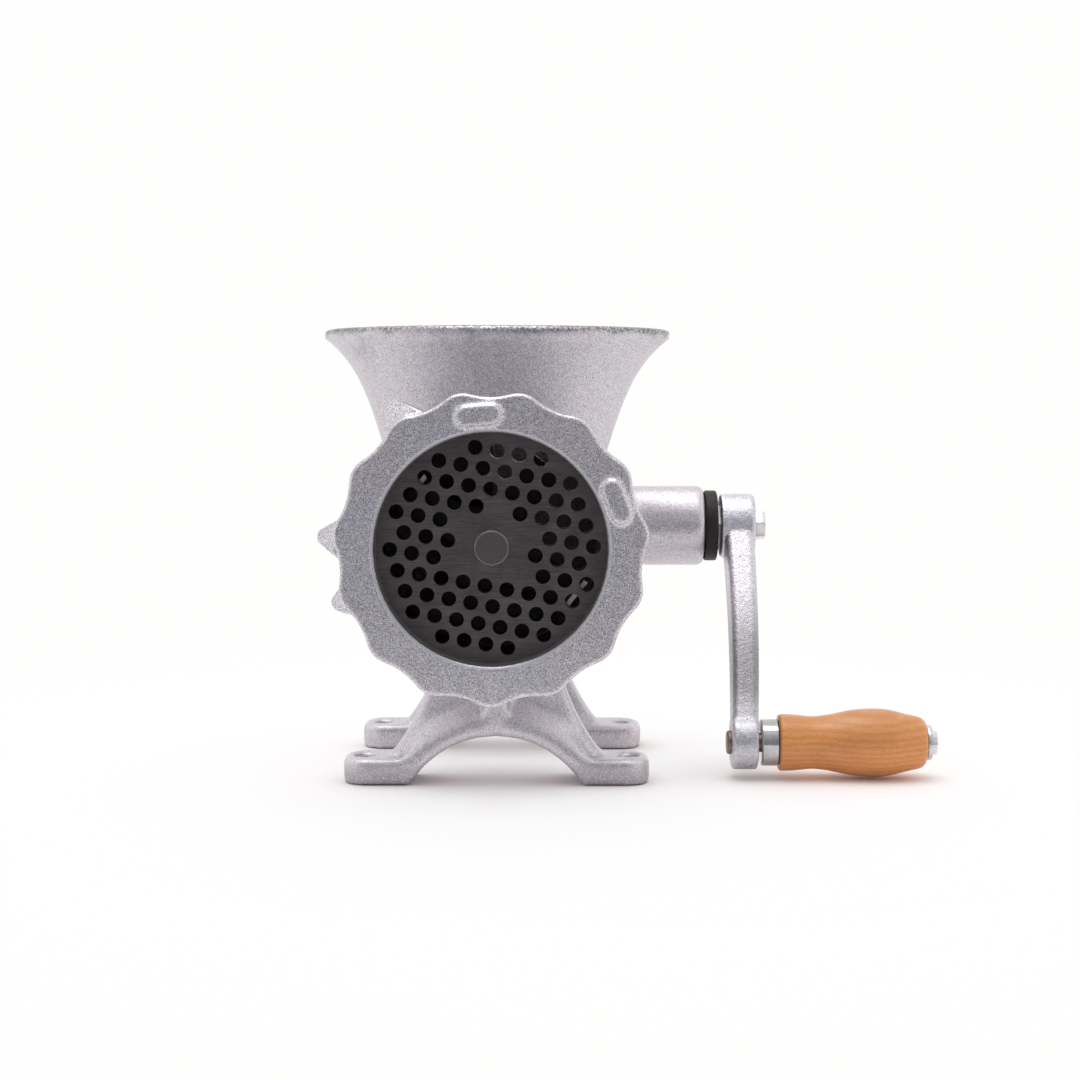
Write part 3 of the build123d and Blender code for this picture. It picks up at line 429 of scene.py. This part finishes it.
# the last two values of each look set its painted edge highlight and painted crease shade
castLooks = {
    "body": {
        "metallic": 0.84, "Pale": (0.79, 0.755, 0.785, 1), "Dark": (0.43, 0.408, 0.43, 1),
        "Grain": 2700.0, "Speckle": 0.8, "Smoothest": 0.29, "Roughest": 0.43,
        "bumpDistance": 0.00016, "bumpStrength": 0.65, "edgeHighlight": 0.55, "creaseShade": 0.6,
    },
    "ring": {
        "metallic": 0.9, "Pale": (0.84, 0.82, 0.85, 1), "Dark": (0.33, 0.313, 0.335, 1),
        "Grain": 2900.0, "Speckle": 1.0, "Smoothest": 0.28, "Roughest": 0.4,
        "bumpDistance": 0.00014, "bumpStrength": 0.8, "edgeHighlight": 0.5, "creaseShade": 0.6,
    },
    "arm": {
        "metallic": 0.86, "Pale": (0.78, 0.765, 0.795, 1), "Dark": (0.52, 0.505, 0.53, 1),
        "Grain": 1500.0, "Speckle": 0.6, "Smoothest": 0.3, "Roughest": 0.46,
        "bumpDistance": 0.00026, "bumpStrength": 0.8, "edgeHighlight": 0.5, "creaseShade": 0.65,
    },
    # feed screw: near black as painted shade, so the plate's holes read dark
    "screw": {
        "metallic": 0.85, "Pale": (0.16, 0.158, 0.16, 1), "Dark": (0.075, 0.073, 0.075, 1),
        "Grain": 2000.0, "Speckle": 0.7, "Smoothest": 0.34, "Roughest": 0.5,
        "bumpDistance": 0.0001, "bumpStrength": 0.5, "edgeHighlight": 0.25, "creaseShade": 0.6,
    },
}
bodyTin = tinnedMaterial("bodyTin", castLooks["body"], weatherAndShadeBody)
ringTin = tinnedMaterial("ringTin", castLooks["ring"], turnLip)
armShadedTin = tinnedMaterial("armShadedTin", castLooks["arm"], paintArmShade)
screwShadedTin = tinnedMaterial("screwShadedTin", castLooks["screw"])

# knife: near black as painted shade, with painted glints near two blade tips
knifeGlints = {
    "turn": 52.0, "ground": (0.0312, 0.0318), "glintSide": (-0.001, 0.0005), "highlightColour": (0.9, 0.9, 0.9, 1),
}


def paintTipGlints(tree, place, colour, relief):
    turned = addNode(tree, "ShaderNodeVectorRotate", rotation_type="Y_AXIS")
    plug(tree, turned.inputs["Vector"], place)
    plug(tree, turned.inputs["Center"], (0.0, 0.0, axisHeight))
    plug(tree, turned.inputs["Angle"], math.radians(knifeGlints["turn"]))
    axes = split(tree, turned.outputs[0])
    along = mathNode(tree, "ABSOLUTE", mathNode(tree, "SUBTRACT", axes["Z"], axisHeight), 0.0)
    # painted glints: a lighter band near the tips of two opposite blades, on one side
    ground = spread(tree, along, *knifeGlints["ground"], 0.0, 1.0)
    ground = times(tree, ground, spread(tree, axes["X"], *knifeGlints["glintSide"], 0.0, 1.0))
    return blended(tree, ground, colour, knifeGlints["highlightColour"]), relief


steelLooks = {
    "plate": {
        "metallic": 0.9, "Base": (0.118, 0.103, 0.105, 1), "Stretch": (130.0, 400.0, 4300.0),
        "Contrast": 0.22, "Smoothest": 0.34, "Roughest": 0.52, "bumpDistance": 0.00002,
    },
    # knife: its near-black base is painted shade for the inside of the plate's holes
    "knife": {
        "metallic": 0.9, "Base": (0.02, 0.019, 0.019, 1), "Stretch": (900.0, 900.0, 90.0),
        "Contrast": 0.15, "Smoothest": 0.3, "Roughest": 0.45, "bumpDistance": 0.00001,
    },
    "shaft": {
        "metallic": 1.0, "Base": (0.42, 0.415, 0.42, 1), "Stretch": (1400.0, 1400.0, 1400.0),
        "Contrast": 0.14, "Smoothest": 0.26, "Roughest": 0.42, "bumpDistance": 0.00001,
    },
    "gear": {
        "metallic": 1.0, "Base": (0.36, 0.36, 0.37, 1), "Stretch": (700.0, 700.0, 700.0),
        "Contrast": 0.2, "Smoothest": 0.28, "Roughest": 0.5, "bumpDistance": 0.00001,
    },
    "brass": {
        "metallic": 1.0, "Base": (0.7, 0.5, 0.2, 1), "Stretch": (1200.0, 1200.0, 200.0),
        "Contrast": 0.12, "Smoothest": 0.24, "Roughest": 0.4, "bumpDistance": 0.00001,
    },
    "zinc": {
        "metallic": 1.0, "Base": (0.7, 0.705, 0.73, 1), "Stretch": (500.0, 900.0, 900.0),
        "Contrast": 0.12, "Smoothest": 0.2, "Roughest": 0.38, "bumpDistance": 0.00001,
    },
    "stud": {
        "metallic": 1.0, "Base": (0.24, 0.19, 0.15, 1), "Stretch": (900.0, 900.0, 900.0),
        "Contrast": 0.25, "Smoothest": 0.34, "Roughest": 0.5, "bumpDistance": 0.00001,
    },
    "ferrule": {
        "metallic": 1.0, "Base": (0.55, 0.535, 0.54, 1), "Stretch": (2600.0, 60.0, 60.0),
        "Contrast": 0.05, "Smoothest": 0.08, "Roughest": 0.15, "bumpDistance": 0.00001,
    },
}
for look in steelLooks.values():
    look["bumpStrength"] = 0.6
plateSteel = linedMaterial("plateSteel", steelLooks["plate"])
knifeShadeAndGlintSteel = linedMaterial("knifeShadeAndGlintSteel", steelLooks["knife"], paintTipGlints)
shaftSteel = linedMaterial("shaftSteel", steelLooks["shaft"])
gearSteel = linedMaterial("gearSteel", steelLooks["gear"])
bushBrass = linedMaterial("bushBrass", steelLooks["brass"])
zincSteel = linedMaterial("zincSteel", steelLooks["zinc"])
studSteel = linedMaterial("studSteel", steelLooks["stud"])
ferruleSteel = linedMaterial("ferruleSteel", steelLooks["ferrule"])

# screw's pin: its end is faced on the lathe, with a painted highlight round its outer circle
pinLook = {
    "base": (0.17, 0.152, 0.153, 1), "groove": (0.11, 0.098, 0.099, 1), "rings": 420.0, "waver": 1.2,
    "wornScale": 900.0, "worn": (0.35, 0.6), "grooves": (0.2, 0.8), "roughness": (0.3, 0.45),
    "rim": (0.4, 0.38, 0.38, 1), "rimR": 0.0053, "rimEdge": 0.0002,
    "bumpDistance": 0.00002, "bumpStrength": 0.4,
}


def makePinSteel():
    look = pinLook
    material, tree, shader = newMaterial("pinSteel", 1.0)
    place = objectPlace(tree)
    rings = addNode(tree, "ShaderNodeTexWave", wave_type="RINGS", rings_direction="Y")
    plug(tree, rings.inputs["Vector"], mapped(tree, place, location=(0.0, 0.0, -axisHeight)))
    plug(tree, rings.inputs["Scale"], look["rings"])
    plug(tree, rings.inputs["Distortion"], look["waver"])
    worn = noiseValue(tree, place, look["wornScale"], detail=3.0, roughness=0.6)
    groove = times(tree, rings.outputs[1], spread(tree, worn, *look["worn"], *look["grooves"]))
    colour = blended(tree, groove, look["base"], look["groove"])
    radius = feedRadius(tree, split(tree, place))
    # painted highlight round the pin's outer circle
    rim = spread(tree, radius, look["rimR"], look["rimR"] + look["rimEdge"], 0.0, 1.0)
    plug(tree, shader.inputs["Base Color"], blended(tree, rim, colour, look["rim"]))
    plug(tree, shader.inputs["Roughness"], noiseSpread(tree, worn, *look["roughness"]))
    addBump(tree, shader, rings.outputs[1], look["bumpDistance"], look["bumpStrength"])
    return material


pinSteel = makePinSteel()

# black collar and rubber seals, a little dusty
mattLooks = {
    "collar": {
        "base": (0.008, 0.0065, 0.006, 1), "dusty": (0.024, 0.019, 0.016, 1), "grain": 700.0,
        "roughness": (0.42, 0.68),
    },
    "rubber": {
        "base": (0.018, 0.018, 0.018, 1), "dusty": (0.04, 0.04, 0.04, 1), "grain": 500.0,
        "roughness": (0.6, 0.8),
    },
}
dustLook = {"specular": 0.35, "patches": (0.35, 0.7), "bumpDistance": 0.00006, "bumpStrength": 0.5}


def mattMaterial(name, look):
    material, tree, shader = newMaterial(name, 0.0, dustLook["specular"])
    dust = noiseValue(tree, objectPlace(tree), look["grain"], detail=4.0, roughness=0.65)
    dusty = spread(tree, dust, *dustLook["patches"], 0.0, 1.0)
    plug(tree, shader.inputs["Base Color"], blended(tree, dusty, look["base"], look["dusty"]))
    plug(tree, shader.inputs["Roughness"], noiseSpread(tree, dust, *look["roughness"]))
    addBump(tree, shader, dust, dustLook["bumpDistance"], dustLook["bumpStrength"])
    return material


collarBlack = mattMaterial("collarBlack", mattLooks["collar"])
sealRubber = mattMaterial("sealRubber", mattLooks["rubber"])

# turned grip: growth rings cut along their length, fibres and short dark pores, darker ends
woodLook = {
    "pale": (0.74, 0.32, 0.095, 1), "tan": (0.57, 0.208, 0.05, 1), "dark": (0.32, 0.115, 0.033, 1),
    "specular": 0.4, "coat": 0.6, "coatRoughness": 0.26, "roughness": (0.4, 0.58),
    "ringCentre": (0.012, -0.07), "ringStretch": (0.12, 1.0, 1.0), "ringScale": 150.0, "ringWaver": 1.4,
    "ringDetail": 3.0, "ringDetailScale": 1.5, "ringTan": (0.1, 0.55),
    "fibre": (30.0, 1700.0, 1700.0), "fibres": (0.4, 0.66), "fibreTan": 0.45,
    "pore": (420.0, 4200.0, 4200.0), "pores": (0.6, 0.72), "poreDark": 0.5,
    "cloud": (30.0, 110.0, 110.0), "cloudTones": (0.9, 1.08),
    "middle": 0.12955, "ends": (0.0262, 0.027), "endDark": 0.7,
    "bumpDistance": 0.00003, "bumpStrength": 0.5,
}


def growthRings(tree, place, look):
    ringY, ringZ = look["ringCentre"]
    local = mapped(tree, place, location=(0.0, -handleY - ringY, -handleZ - ringZ))
    rings = addNode(
        tree, "ShaderNodeTexWave", wave_type="RINGS", rings_direction="X", wave_profile="SIN"
    )
    plug(tree, rings.inputs["Vector"], mapped(tree, local, scale=look["ringStretch"]))
    plug(tree, rings.inputs["Scale"], look["ringScale"])
    plug(tree, rings.inputs["Distortion"], look["ringWaver"])
    plug(tree, rings.inputs["Detail"], look["ringDetail"])
    plug(tree, rings.inputs["Detail Scale"], look["ringDetailScale"])
    return rings.outputs[1]


def makeGripWood():
    look = woodLook
    material, tree, shader = newMaterial("gripWood", 0.0, look["specular"])
    shader.inputs["Coat Weight"].default_value = look["coat"]
    shader.inputs["Coat Roughness"].default_value = look["coatRoughness"]
    place = objectPlace(tree)
    rings = spread(tree, growthRings(tree, place, look), 0.0, 1.0, *look["ringTan"])
    fibre = noiseValue(tree, mapped(tree, place, scale=look["fibre"]), 1.0, detail=4.0, roughness=0.7)
    pore = noiseValue(tree, mapped(tree, place, scale=look["pore"]), 1.0, detail=1.0)
    cloud = noiseValue(tree, mapped(tree, place, scale=look["cloud"]), 1.0, detail=3.0, roughness=0.55)
    colour = blended(tree, rings, look["pale"], look["tan"])
    colour = blended(tree, spread(tree, fibre, *look["fibres"], 0.0, look["fibreTan"]), colour, look["tan"])
    colour = tinted(tree, colour, noiseSpread(tree, cloud, *look["cloudTones"]))
    pores = spread(tree, pore, *look["pores"], 0.0, look["poreDark"])
    colour = blended(tree, pores, colour, look["dark"])
    fromMiddle = mathNode(tree, "SUBTRACT", split(tree, place)["X"], look["middle"])
    fromMiddle = mathNode(tree, "ABSOLUTE", fromMiddle, 0.0)
    ends = spread(tree, fromMiddle, *look["ends"], 0.0, look["endDark"])
    colour = blended(tree, ends, colour, look["dark"])
    plug(tree, shader.inputs["Base Color"], colour)
    plug(tree, shader.inputs["Roughness"], noiseSpread(tree, fibre, *look["roughness"]))
    relief = mathNode(tree, "SUBTRACT", fibre, pores)
    addBump(tree, shader, relief, look["bumpDistance"], look["bumpStrength"])
    return material


gripWood = makeGripWood()
print("materials made")


def dress(obj, material):
    obj.data.materials.clear()
    obj.data.materials.append(material)


nodeFinishes = {
    "body_casting": bodyTin, "ring_nut": ringTin, "crank_arm": armShadedTin, "rear_cover": bodyTin,
    "feed_screw": screwShadedTin, "hole_plate": plateSteel, "knife": knifeShadeAndGlintSteel, "screw_pin": pinSteel,
    "plate_key": shaftSteel, "pinion_pin": shaftSteel, "crank_shaft": shaftSteel,
    "drive_gear": gearSteel, "drive_pinion": gearSteel, "thrust_washer": bushBrass,
    "drive_bush": bushBrass, "pinion_washer": bushBrass, "inner_shaft_bush": bushBrass,
    "outer_shaft_bush": bushBrass, "drive_seal": sealRubber, "cover_gasket": sealRubber,
    "crank_collar": collarBlack, "crank_bolt": zincSteel, "handle_stud": studSteel,
    "grip_washer": zincSteel, "grip_nut": zincSteel, "cover_screws": zincSteel,
    "handle_ferrule": ferruleSteel, "wooden_grip": gripWood,
}
for nodeName, material in nodeFinishes.items():
    dress(cadNodes[nodeName], material)

nodeBodies = {name: body for body, names in behaviour["bodies"].items() for name in names}


def standFor(piece, nodeName):
    dress(piece, nodeFinishes[nodeName])
    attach(piece, nodeBodies[nodeName])
    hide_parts(nodeName)


def fromFeedAxis(place):
    return math.hypot(place.x, place.z - axisHeight)


def fromCrankAxis(place):
    return math.hypot(place.y - crankY, place.z - axisHeight)


# body casting: bores and the nose under the ring keep their fit
bodyLook = {
    "voxel": 0.00133, "softPasses": 3, "blendPasses": 28,
    "boreR": 0.0395, "boreFront": -0.09, "boreBack": 0.053, "noseR": 0.0456, "noseBack": -0.0665,
    "bossX": 0.03, "bossBoreR": 0.0105,
}


def bodySkin(place):
    radius = fromFeedAxis(place)
    inBore = radius < bodyLook["boreR"] and bodyLook["boreFront"] < place.y < bodyLook["boreBack"]
    onNose = radius < bodyLook["noseR"] and place.y < bodyLook["noseBack"]
    inBoss = place.x > bodyLook["bossX"] and fromCrankAxis(place) < bodyLook["bossBoreR"]
    return 0.0 if inBore or onNose or inBoss else 1.0


# broad fillets where the hopper's throat and the legs meet the barrel
blendLook = {
    "front": -0.066, "throatLow": (0.104, 0.114), "throatTop": (0.142, 0.13), "throatR": (0.0445, 0.046),
    "saddleLow": (0.0095, 0.0135), "saddleTop": (0.06, 0.05),
    "archZ": -0.0191, "archR": (0.0364, 0.04), "leastArch": 0.3,
}


def bodyBlend(place):
    look = blendLook
    if bodySkin(place) == 0.0 or place.y < look["front"]:
        return 0.0
    throat = rampWeight(place.z, *look["throatLow"]) * rampWeight(place.z, *look["throatTop"])
    throat *= rampWeight(fromFeedAxis(place), *look["throatR"])
    saddle = rampWeight(place.z, *look["saddleLow"]) * rampWeight(place.z, *look["saddleTop"])
    # the arch keeps more of its own edge
    arch = rampWeight(math.hypot(place.x, place.z - look["archZ"]), *look["archR"])
    return max(throat, saddle * (look["leastArch"] + (1.0 - look["leastArch"]) * arch))


# legs: the ledge behind each arch band is filled to a slope, fading out at the feet
legLook = {
    "face": 0.0475, "ledge": 0.008, "rise": 0.0078, "fade": 0.007,
    "foot": (0.034, 0.0092), "middle": (0.018, 0.0182), "crown": (0.0045, 0.0235),
    "before": 0.0006, "behind": 0.0012, "below": 0.001,
}


def circleThrough(first, second, third):
    (ax, az), (bx, bz), (cx, cz) = first, second, third
    twice = 2 * (ax * (bz - cz) + bx * (cz - az) + cx * (az - bz))
    squares = (ax * ax + az * az, bx * bx + bz * bz, cx * cx + cz * cz)
    centreX = (squares[0] * (bz - cz) + squares[1] * (cz - az) + squares[2] * (az - bz)) / twice
    centreZ = (squares[0] * (cx - bx) + squares[1] * (ax - cx) + squares[2] * (bx - ax)) / twice
    return centreX, centreZ, math.hypot(ax - centreX, az - centreZ)


bandX, bandZ, bandR = circleThrough(legLook["foot"], legLook["middle"], legLook["crown"])


def bodyMould(place):
    look = legLook
    across = abs(place.x)
    depth = look["face"] - abs(place.y)
    onLeg = look["crown"][0] < across < look["foot"][0]
    if not onLeg or not -look["before"] < depth < look["ledge"] + look["behind"]:
        return place
    bandTop = bandZ + math.sqrt(bandR**2 - (across - bandX) ** 2)
    rise = look["rise"] * rampWeight(look["foot"][0] - across, 0.0, look["fade"])
    short = rise * depth / look["ledge"] - (place.z - bandTop)
    if short <= 0.0 or place.z < bandTop - look["below"]:
        return place
    slant = math.hypot(rise, look["ledge"])
    out = short * look["ledge"] / slant
    depth -= out * rise / slant
    y = math.copysign(look["face"] - depth, place.y)
    return Vector((place.x, y, place.z + out * look["ledge"] / slant))


standFor(softCast("body_casting", "bodyCasting", bodyLook, bodySkin, bodyBlend, bodyMould), "body_casting")

# ring nut: the bore over the nose keeps its fit
ringLook = {
    "voxel": 0.00062, "softPasses": 3, "boreR": 0.0457, "boreFront": -0.0885, "front": -0.098,
    "lipR": 0.0385, "lipChamfer": 0.0009, "lipSoft": 0.3,
    "lugR": 0.0526, "lugFront": -0.089, "lugFall": 0.9,
}


def ringSkin(place):
    radius = fromFeedAxis(place)
    if radius < ringLook["boreR"] and place.y > ringLook["boreFront"]:
        return 0.0
    return ringLook["lipSoft"] if radius < ringLook["lipR"] + 2 * ringLook["lipChamfer"] else 1.0


def ringMould(place):
    # lug fronts fall away to their tips, and the lip has a small chamfer
    radius = fromFeedAxis(place)
    chamferR = ringLook["lipR"] + ringLook["lipChamfer"]
    back = place.y
    if radius > ringLook["lugR"]:
        back = max(back, ringLook["lugFront"] + ringLook["lugFall"] * (radius - ringLook["lugR"]))
    elif radius < chamferR:
        back = max(back, ringLook["front"] + chamferR - radius)
    return Vector((place.x, back, place.z))


standFor(softCast("ring_nut", "ringNut", ringLook, ringSkin, mouldAt=ringMould), "ring_nut")

# crank arm: the square socket and the stud hole keep their fit
armLook = {"voxel": 0.00048, "softPasses": 14, "socketR": 0.0088, "studR": 0.0042}


def armSkin(place):
    fromStud = math.hypot(place.y - handleY, place.z - handleZ)
    return 0.0 if fromCrankAxis(place) < armLook["socketR"] or fromStud < armLook["studR"] else 1.0


standFor(softCast("crank_arm", "crankArm", armLook, armSkin), "crank_arm")

# rear cover: the face on the gasket stays flat
coverLook = {"voxel": 0.0009, "softPasses": 4, "face": 0.0527, "softBy": 0.0537}


def coverSkin(place):
    return rampWeight(place.y, coverLook["face"], coverLook["softBy"])


standFor(softCast("rear_cover", "rearCover", coverLook, coverSkin), "rear_cover")

# grip: its outer end is sanded round
gripLook = {"voxel": 0.0005, "softPasses": 60, "roundFrom": 0.1465, "roundTo": 0.1525, "leastSoft": 0.03}


def gripSkin(place):
    leastSoft = gripLook["leastSoft"]
    return leastSoft + (1.0 - leastSoft) * rampWeight(place.x, gripLook["roundFrom"], gripLook["roundTo"])


standFor(softCast("wooden_grip", "woodenGrip", gripLook, gripSkin), "wooden_grip")

# small hardware
hardwareLook = {
    "flatAngle": 0.4, "bevelAngle": 38.0, "bevelWidth": 0.00022, "segments": 2, "smoothAngle": 32.0,
}
for nodeName, pieceName in (
    ("crank_bolt", "crankBolt"), ("grip_nut", "gripNut"), ("grip_washer", "gripWasher"),
    ("crank_collar", "crankCollar"), ("cover_screws", "coverScrews"),
):
    standFor(bevelledCopy(nodeName, pieceName, hardwareLook), nodeName)
print("pieces made")

# camera, fitted to the ring, the feet and the bolt holes
cameraLook = {
    "place": (0.0211, -0.7189, 0.1376), "pitch": 4.214, "yaw": 0.451,
    "lens": 63.33, "sensor": 36.0, "nearest": 0.01,
}
cameraData = bpy.data.cameras.new("camera")
cameraData.lens = cameraLook["lens"]
cameraData.sensor_width = cameraLook["sensor"]
cameraData.clip_start = cameraLook["nearest"]
camera = bpy.data.objects.new("camera", cameraData)
camera.location = cameraLook["place"]
camera.rotation_euler = (math.radians(90 - cameraLook["pitch"]), 0.0, math.radians(cameraLook["yaw"]))
scene.collection.objects.link(camera)
scene.camera = camera

# pale floor that fades into the white room, lifted where nothing stands over it
floorLook = {
    "radius": 1.3, "vertices": 96, "height": -0.0003, "colour": (0.95, 0.885, 0.875, 1),
    "roughness": 0.9, "specular": 0.1, "fade": (0.12, 0.42), "middle": (0.045, 0.02, 0.0),
    "lift": 0.8, "contact": 0.038, "contactPower": 3.0, "contactSamples": 8,
}


def mixShaders(tree, amount, first, second):
    node = addNode(tree, "ShaderNodeMixShader")
    for index, source in enumerate((amount, first, second)):
        plug(tree, node.inputs[index], source)
    return node.outputs[0]


def makePaleFloor():
    look = floorLook
    material, tree, shader = newMaterial("paleFloor", 0.0, look["specular"])
    shader.inputs["Base Color"].default_value = look["colour"]
    shader.inputs["Roughness"].default_value = look["roughness"]
    rays = addNode(tree, "ShaderNodeLightPath").outputs
    seen = mathNode(tree, "MAXIMUM", rays["Is Camera Ray"], rays["Is Glossy Ray"])
    seen = mathNode(tree, "MAXIMUM", seen, rays["Is Transmission Ray"])
    contact = addNode(tree, "ShaderNodeAmbientOcclusion", samples=look["contactSamples"])
    plug(tree, contact.inputs["Distance"], look["contact"])
    clearOf = mathNode(tree, "POWER", contact.outputs["AO"], look["contactPower"])
    lift = times(tree, seen, times(tree, clearOf, look["lift"]))
    paleLight = addNode(tree, "ShaderNodeEmission").outputs[0]
    distance = addNode(tree, "ShaderNodeVectorMath", operation="DISTANCE")
    plug(tree, distance.inputs[0], objectPlace(tree))
    plug(tree, distance.inputs[1], look["middle"])
    fade = spread(tree, distance.outputs["Value"], *look["fade"], 0.0, 1.0)
    clear = addNode(tree, "ShaderNodeBsdfTransparent").outputs[0]
    surface = mixShaders(tree, fade, mixShaders(tree, lift, shader.outputs[0], paleLight), clear)
    plug(tree, tree.nodes["Material Output"].inputs["Surface"], surface)
    return material


bpy.ops.object.select_all(action="DESELECT")
bpy.ops.mesh.primitive_circle_add(
    vertices=floorLook["vertices"], radius=floorLook["radius"], fill_type="NGON",
    location=(0.0, 0.0, floorLook["height"]),
)
floor = bpy.context.active_object
floor.name = "floor"
dress(floor, makePaleFloor())

# white room, greyer on the camera's side
roomLook = {
    0.0: (0.3, 0.305, 0.335, 1), 0.1: (0.53, 0.53, 0.56, 1),
    0.25: (0.89, 0.885, 0.9, 1), 0.45: (1.0, 0.995, 0.99, 1),
}
scene.world = bpy.data.worlds.new("room")
scene.world.use_nodes = True
tree = scene.world.node_tree
background = tree.nodes["Background"]
direction = split(tree, addNode(tree, "ShaderNodeTexCoord").outputs["Generated"])
ramp = addNode(tree, "ShaderNodeValToRGB")
stops = ramp.color_ramp.elements
ramp.color_ramp.interpolation = "EASE"
stops.remove(stops[1])
for position, colour in roomLook.items():
    stop = stops[0] if position == 0.0 else stops.new(position)
    stop.color = colour
fromCamera = times(tree, mathNode(tree, "ADD", direction["Y"], 1.0), 0.5)
plug(tree, ramp.inputs[0], fromCamera)
plug(tree, background.inputs["Color"], ramp.outputs[0])
background.inputs["Strength"].default_value = 1.0

# softbox overhead
boxLook = {
    "place": (-0.05, -0.02, 1.0), "aim": (0.03, 0.0, 0.08), "width": 0.8, "depth": 0.55, "power": 3.3,
}
boxData = bpy.data.lights.new("softbox", "AREA")
boxData.shape = "RECTANGLE"
boxData.size = boxLook["width"]
boxData.size_y = boxLook["depth"]
boxData.energy = boxLook["power"]
softbox = bpy.data.objects.new("softbox", boxData)
softbox.location = boxLook["place"]
boxAim = Vector(boxLook["aim"]) - softbox.location
softbox.rotation_euler = boxAim.to_track_quat("-Z", "Y").to_euler()
scene.collection.objects.link(softbox)
print("camera, floor and light set")
